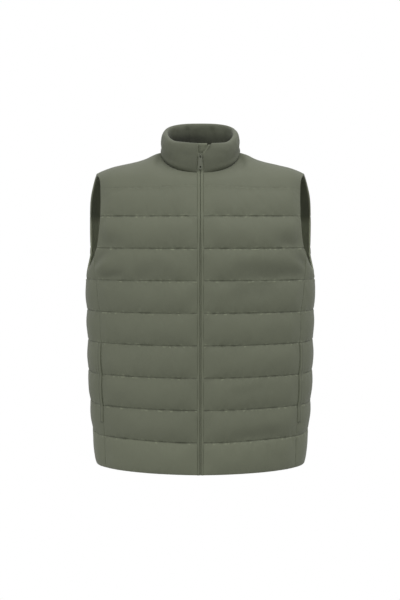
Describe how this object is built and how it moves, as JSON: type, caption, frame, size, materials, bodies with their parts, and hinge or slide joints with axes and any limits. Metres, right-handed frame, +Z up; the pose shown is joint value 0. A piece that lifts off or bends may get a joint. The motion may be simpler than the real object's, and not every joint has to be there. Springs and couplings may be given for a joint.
{
  "type": "puffer vest",
  "caption": "Quilted sleeveless puffer vest filled out as if worn, with a padded stand collar, a closed front zip and side pockets; neck, armholes and hem are open.",
  "frame": {"origin": "between the shoulders, level with the points where the shoulder seams meet the neck seam, where the wearer's shoulders hold the vest up", "axes": "+Z up, -Y the way the vest faces, +X the wearer's left"},
  "size_m": [0.4822, 0.3115, 0.7232],
  "materials": {
    "shell": "olive green matte woven nylon with a faint sheen",
    "zip_tape": "olive green woven polyester tape, matte",
    "coated_metal": "olive grey paint on metal, satin"
  },
  "bodies": {
    "vest": {"front_left": "shell", "front_right": "shell", "side_left": "shell", "side_right": "shell", "back": "shell", "collar": "shell", "pocket_welt_left": "shell", "pocket_welt_right": "shell", "wind_guard": "shell", "zip_tape_left": "zip_tape", "zip_tape_right": "zip_tape", "zip_slider": "coated_metal"},
    "pull_tab": {"zip_pull_tab": "coated_metal"}
  },
  "joints": [
    {"name": "pull_tab_hinge", "type": "hinge", "parent": "vest", "child": "pull_tab", "pos_m": [0, -0.08726, -0.0045], "axis": [-1, 0, 0], "range_deg": [0, 165]}
  ]
}
